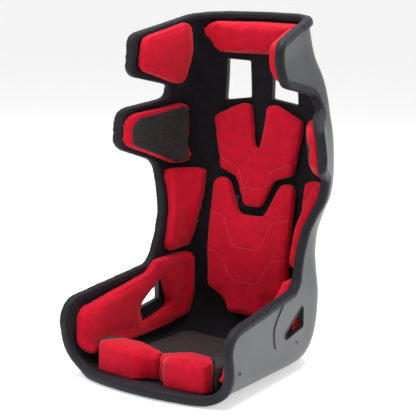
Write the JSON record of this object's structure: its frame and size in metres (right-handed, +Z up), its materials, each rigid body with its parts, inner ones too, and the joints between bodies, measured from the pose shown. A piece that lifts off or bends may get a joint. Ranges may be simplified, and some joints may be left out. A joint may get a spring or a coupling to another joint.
{
  "type": "racing seat",
  "caption": "Fixed-back racing bucket seat: laminated shell with head and shoulder wings, fabric trim, padded rim and removable red pads.",
  "frame": {"origin": "middle of the overall width and depth, on the floor under the pan", "axes": "+Z up, the seated person faces -Y, +X is the seated person's left"},
  "size_m": [0.6278, 0.5591, 0.884],
  "materials": {
    "shell_laminate": "satin grey moulded laminate",
    "trim_fabric": "near-black velour on thin foam",
    "roll_fabric": "charcoal velour over a foam bead",
    "pad_fabric": "crimson stretch velour over foam",
    "grip_fabric": "dark grainy non-slip fabric",
    "insert_steel": "zinc plated",
    "plate_steel": "plain steel strip",
    "rubber_edging": "matt black",
    "tape": "black hook-and-loop tape"
  },
  "bodies": {
    "root": {"shell": "shell_laminate", "interior_trim": "trim_fabric", "edge_roll": "roll_fabric", "mount_inserts": "insert_steel", "mount_plates": "plate_steel", "side_pad_hook_tape": "tape", "crotch_slot_binding": "rubber_edging", "harness_slot_binding_left": "rubber_edging", "lap_slot_binding_left": "rubber_edging", "head_side_pad_left": "pad_fabric", "shoulder_pad_left": "pad_fabric", "rib_pad_left": "pad_fabric", "hip_pad_left": "pad_fabric", "shoulder_grip_panel_left": "grip_fabric", "harness_slot_binding_right": "rubber_edging", "lap_slot_binding_right": "rubber_edging", "head_side_pad_right": "pad_fabric", "shoulder_pad_right": "pad_fabric", "rib_pad_right": "pad_fabric", "hip_pad_right": "pad_fabric", "shoulder_grip_panel_right": "grip_fabric", "head_pad_hook_tape": "tape", "upper_back_pad_hook_tape": "tape", "lower_back_pad_hook_tape": "tape", "seat_cushion_hook_tape": "tape"},
    "head_pad": {"head_pad": "pad_fabric", "head_pad_loop_tape": "tape"},
    "upper_back_pad": {"upper_back_pad": "pad_fabric", "upper_back_pad_loop_tape": "tape"},
    "lower_back_pad": {"lower_back_pad": "pad_fabric", "lower_back_pad_loop_tape": "tape"},
    "seat_cushion": {"leg_cushion": "pad_fabric", "base_pad": "grip_fabric", "seat_cushion_loop_tape": "tape"}
  },
  "joints": [
    {"name": "head_pad_pull", "type": "slide", "parent": "root", "child": "head_pad", "axis": [0, -1, 0], "range_m": [0, 0.12]},
    {"name": "upper_back_pad_pull", "type": "slide", "parent": "root", "child": "upper_back_pad", "axis": [0, -1, 0], "range_m": [0, 0.12]},
    {"name": "lower_back_pad_pull", "type": "slide", "parent": "root", "child": "lower_back_pad", "axis": [0, -1, 0], "range_m": [0, 0.03]},
    {"name": "seat_cushion_lift", "type": "slide", "parent": "root", "child": "seat_cushion", "axis": [0, 0, 1], "range_m": [0, 0.15]}
  ]
}
